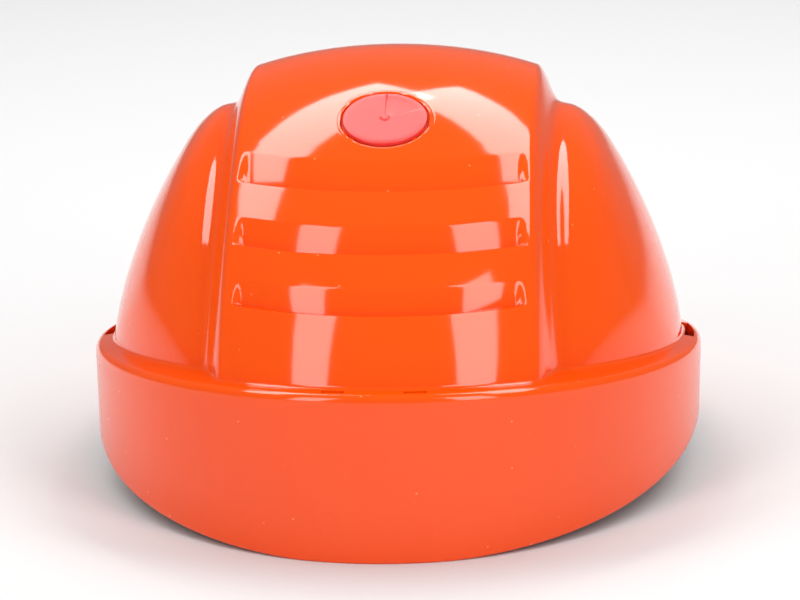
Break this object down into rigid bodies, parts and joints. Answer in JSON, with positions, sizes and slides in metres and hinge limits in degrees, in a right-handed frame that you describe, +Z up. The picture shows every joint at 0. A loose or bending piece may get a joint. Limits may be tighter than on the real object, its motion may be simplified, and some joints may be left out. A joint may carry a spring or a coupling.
{
  "type": "safety helmet",
  "caption": "Industrial safety helmet with a moulded shell, deep rear skirt, webbing cradle and a swinging, ratchet-tightened nape strap.",
  "frame": {"origin": "on the table, under the middle of the outline's bounding box", "axes": "+Z up; +Y towards the wearer's front, along the helmet's length; +X towards the wearer's right"},
  "size_m": [0.22, 0.28, 0.1495],
  "materials": {
    "shell_orange": "gloss moulded ABS",
    "indicator_red": "satin dyed plastic",
    "adhesive_foam": "foam tape",
    "webbing": "woven polyester webbing",
    "crown_pad_fabric": "stitched felt",
    "harness_plastic": "satin moulded polyethylene",
    "clip_plastic": "satin moulded nylon",
    "stud_plastic": "satin moulded nylon",
    "sweatband_fabric": "perforated brushed fabric over foam",
    "nape_pad_foam": "fabric over foam",
    "ratchet_plastic": "fine-grained moulded plastic",
    "knob_rubber": "soft-touch moulding",
    "gear_plastic": "natural acetal",
    "spring_steel": "spring strip",
    "screw_steel": "zinc-plated"
  },
  "bodies": {
    "helmet": {"shell": "shell_orange", "indicator_pad": "adhesive_foam", "indicator_disc": "indicator_red", "crown_strap_1": "webbing", "crown_strap_2": "webbing", "crown_strap_3": "webbing", "crown_pad": "crown_pad_fabric", "strap_clip_right": "clip_plastic", "strap_clip_left": "clip_plastic", "strap_clip_front_right": "clip_plastic", "strap_clip_back_left": "clip_plastic", "strap_clip_front_left": "clip_plastic", "strap_clip_back_right": "clip_plastic", "headband": "harness_plastic", "sweatband": "sweatband_fabric", "pivot_stud_left": "stud_plastic", "pivot_stud_right": "stud_plastic"},
    "nape_strap": {"nape_arm_left": "harness_plastic", "nape_arm_right": "harness_plastic", "ratchet_housing": "ratchet_plastic", "ratchet_cover": "ratchet_plastic", "cover_screws": "screw_steel", "nape_pad": "nape_pad_foam", "click_spring": "spring_steel"},
    "ratchet": {"ratchet_knob": "knob_rubber", "pinion": "gear_plastic", "shaft_screw": "screw_steel"},
    "left_rack": {"rack_left": "gear_plastic"},
    "right_rack": {"rack_right": "gear_plastic"}
  },
  "joints": [
    {"name": "nape_swing", "type": "hinge", "parent": "helmet", "child": "nape_strap", "pos_m": [0, -0.018, 0.042], "axis": [-1, 0, 0], "range_deg": [-6, 7]},
    {"name": "knob_turn", "type": "hinge", "parent": "nape_strap", "child": "ratchet", "pos_m": [0, -0.103, 0.027], "axis": [0, 1, 0], "range_deg": [0, 137.5]},
    {"name": "left_rack_slide", "type": "slide", "parent": "nape_strap", "child": "left_rack", "axis": [1, 0, 0], "range_m": [0, 0.012]},
    {"name": "right_rack_slide", "type": "slide", "parent": "nape_strap", "child": "right_rack", "axis": [-1, 0, 0], "range_m": [0, 0.012]}
  ],
  "couplings": [
    {"joint": "left_rack_slide", "follows": "knob_turn", "m_per_rad": 0.005},
    {"joint": "right_rack_slide", "follows": "knob_turn", "m_per_rad": 0.005}
  ]
}
